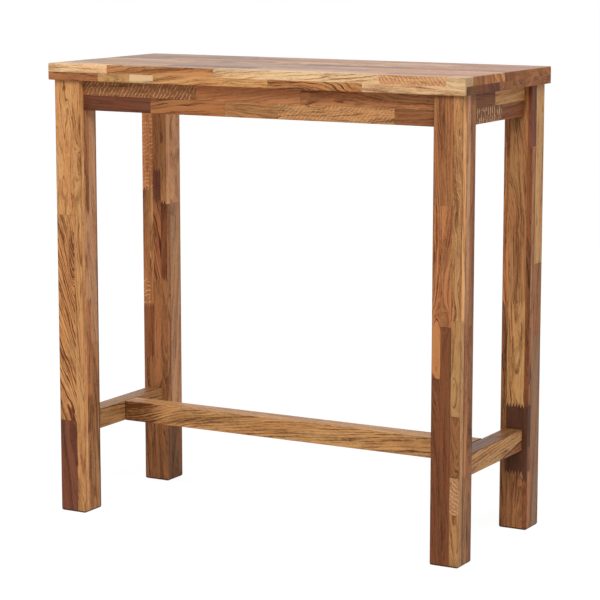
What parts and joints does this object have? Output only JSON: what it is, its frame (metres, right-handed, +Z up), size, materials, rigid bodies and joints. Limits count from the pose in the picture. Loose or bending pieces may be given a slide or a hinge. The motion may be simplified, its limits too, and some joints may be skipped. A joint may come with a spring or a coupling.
{
  "type": "bar table",
  "caption": "Rectangular bar-height table of finger-jointed hardwood: two-layer top, square legs, set-back aprons, low side rails and a long central stretcher.",
  "frame": {"origin": "on the floor under the middle of the table", "axes": "+Z up, +X along the table's length, +Y from front to back across its depth"},
  "size_m": [1.1, 0.47, 1.1],
  "materials": {
    "oiled_top": "satin oiled finger-jointed staves",
    "oiled_frame": "satin oiled finger-jointed strips",
    "cleat_wood": "sanded",
    "dowel_beech": "sanded",
    "bracket_steel": "zinc plated pressed steel",
    "zinc_hardware": "bright zinc plated",
    "screw_steel": "yellow zinc plated"
  },
  "bodies": {
    "root": {"top_upper_layer": "oiled_top", "top_lower_layer": "oiled_top", "leg_front_left": "oiled_frame", "leg_front_right": "oiled_frame", "leg_back_left": "oiled_frame", "leg_back_right": "oiled_frame", "apron_front": "oiled_frame", "apron_back": "oiled_frame", "apron_left": "oiled_frame", "apron_right": "oiled_frame", "side_rail_left": "oiled_frame", "side_rail_right": "oiled_frame", "long_stretcher": "oiled_frame", "corner_bracket_front_left": "bracket_steel", "corner_bracket_front_right": "bracket_steel", "corner_bracket_back_left": "bracket_steel", "corner_bracket_back_right": "bracket_steel", "hanger_bolts": "zinc_hardware", "bolt_washers": "zinc_hardware", "bolt_nuts": "zinc_hardware", "bracket_screws": "screw_steel", "cleat_screws": "screw_steel", "apron_dowels": "dowel_beech", "rail_dowels": "dowel_beech", "stretcher_dowels": "dowel_beech", "top_cleats": "cleat_wood"}
  },
  "joints": []
}
